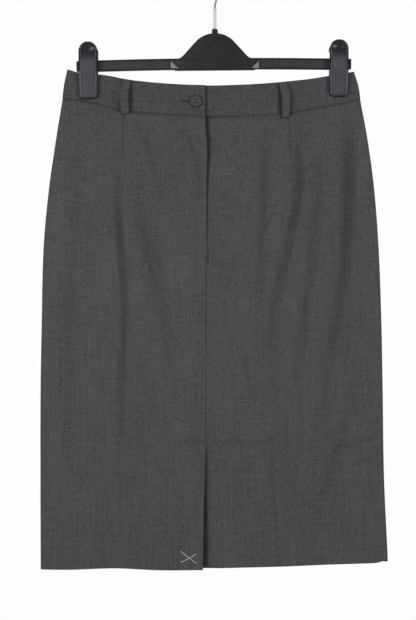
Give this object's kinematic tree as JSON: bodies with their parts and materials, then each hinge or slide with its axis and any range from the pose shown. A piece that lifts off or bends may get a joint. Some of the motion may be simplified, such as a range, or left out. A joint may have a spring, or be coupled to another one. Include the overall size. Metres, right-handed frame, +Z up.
{
  "type": "pencil skirt on clip hanger",
  "caption": "Straight wool pencil skirt with waistband, belt loops, front fly lap and front hem vent, held flat by the waist in the clips of a hanger.",
  "frame": {"origin": "the inside top of the hanger's hook, where it bears on a rail", "axes": "+Z up, the skirt's front faces -Y, +X to the right as the front is seen"},
  "size_m": [0.4555, 0.0737, 0.7988],
  "materials": {
    "wool_suiting": "mid-grey heathered wool suiting, matt with a faint nap",
    "zip_tape": "dark grey woven zip tape",
    "zip_metal": "dull grey zip slider",
    "button_resin": "dark grey resin, soft shine",
    "hanger_plastic": "black moulded plastic with a soft shine",
    "hook_steel": "bright drawn steel wire",
    "sleeve_plastic": "pale plastic tube"
  },
  "bodies": {
    "root": {"front_right_panel": "wool_suiting", "front_left_panel": "wool_suiting", "back_panel": "wool_suiting", "waistband_right": "wool_suiting", "waistband_left": "wool_suiting", "waistband_back": "wool_suiting", "belt_loop_front_right": "wool_suiting", "belt_loop_front_left": "wool_suiting", "belt_loop_back_right": "wool_suiting", "belt_loop_back_left": "wool_suiting", "belt_loop_back_centre": "wool_suiting", "zip_tape": "zip_tape", "zip_slider": "zip_metal", "button": "button_resin", "hanger_bar": "hanger_plastic", "hanger_hook": "hook_steel", "hook_sleeve": "sleeve_plastic", "clip_right_front_jaw": "hanger_plastic", "clip_right_back_jaw": "hanger_plastic", "clip_right_spring": "hook_steel", "clip_left_front_jaw": "hanger_plastic", "clip_left_back_jaw": "hanger_plastic", "clip_left_spring": "hook_steel"}
  },
  "joints": []
}
